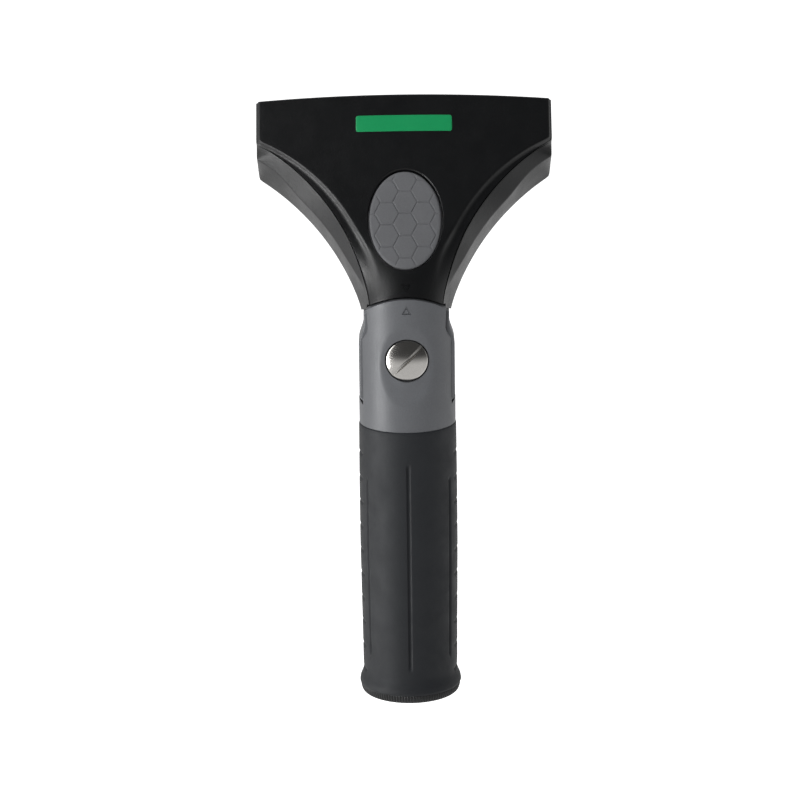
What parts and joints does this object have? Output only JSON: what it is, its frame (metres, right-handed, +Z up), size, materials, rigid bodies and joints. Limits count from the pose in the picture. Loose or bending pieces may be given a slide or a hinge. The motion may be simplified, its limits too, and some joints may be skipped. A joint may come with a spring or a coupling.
{
  "type": "window cleaning squeegee handle",
  "caption": "Professional window squeegee handle: soft grip with pole socket, friction swivel with a slotted screw, and a flared head whose thumb button opens the clamp for a blade channel.",
  "frame": {"origin": "centre of the pole socket's mouth, at the lower end of the grip", "axes": "+Z up along the grip, the button and the swivel screw face -Y, +X to the right seen from the front; the head leans back towards +Y"},
  "size_m": [0.1008, 0.0544, 0.2071],
  "materials": {
    "grey_plastic": "moulded grey, fine grain",
    "black_plastic": "glass-filled, coarse grain",
    "black_rubber": "soft-touch",
    "ring_plastic": "ribbed",
    "button_rubber": "soft grey",
    "button_plastic": "moulded grey",
    "nickel_steel": "bright nickel",
    "steel": "plain",
    "spring_steel": "drawn wire",
    "bronze": "sintered",
    "friction_nylon": "natural",
    "pad_rubber": "plain",
    "label_green": "printed label"
  },
  "bodies": {
    "handle": {"handle_core": "grey_plastic", "grip_sleeve": "black_rubber", "end_ring": "ring_plastic", "swivel_nut": "steel"},
    "clamp_washer": {"screw_washer": "steel"},
    "swivel_screw": {"swivel_screw": "nickel_steel"},
    "head": {"head_body": "black_plastic", "front_cover": "black_plastic", "swivel_tongue": "grey_plastic", "pivot_bush": "bronze", "friction_disc_front": "friction_nylon", "friction_disc_rear": "friction_nylon", "tongue_pins": "steel", "lever_pin": "steel", "lever_springs": "spring_steel", "button_spring": "spring_steel", "channel_pad": "pad_rubber", "cover_screws": "steel", "badge": "label_green"},
    "button": {"button_carrier": "button_plastic", "button_pad": "button_rubber"},
    "lever": {"clamp_lever": "steel", "jaw_strip": "steel"}
  },
  "joints": [
    {"name": "swivel", "type": "hinge", "parent": "handle", "child": "head", "pos_m": [0, 0, 0.122], "axis": [0, 1, 0], "range_deg": [-90, 90]},
    {"name": "screw_back_off", "type": "slide", "parent": "handle", "child": "clamp_washer", "axis": [0, -1, 0], "range_m": [0, 0.001]},
    {"name": "screw_turn", "type": "hinge", "parent": "clamp_washer", "child": "swivel_screw", "pos_m": [0, 0, 0.122], "axis": [0, -1, 0], "range_deg": [0, 360]},
    {"name": "button_press", "type": "slide", "parent": "head", "child": "button", "axis": [0, 0.866, -0.5], "range_m": [0, 0.0022], "stiffness_N_per_m": 1500, "springref_m": -0.002, "deforming": ["button_spring"]},
    {"name": "lever_turn", "type": "hinge", "parent": "head", "child": "lever", "pos_m": [0, 0.01628, 0.18966], "axis": [1, 0, 0], "range_deg": [0, 7.3], "deforming": ["lever_springs"]}
  ],
  "couplings": [
    {"joint": "lever_turn", "follows": "button_press", "rad_per_m": 57.143},
    {"joint": "screw_back_off", "follows": "screw_turn", "m_per_rad": 0.00015915}
  ]
}
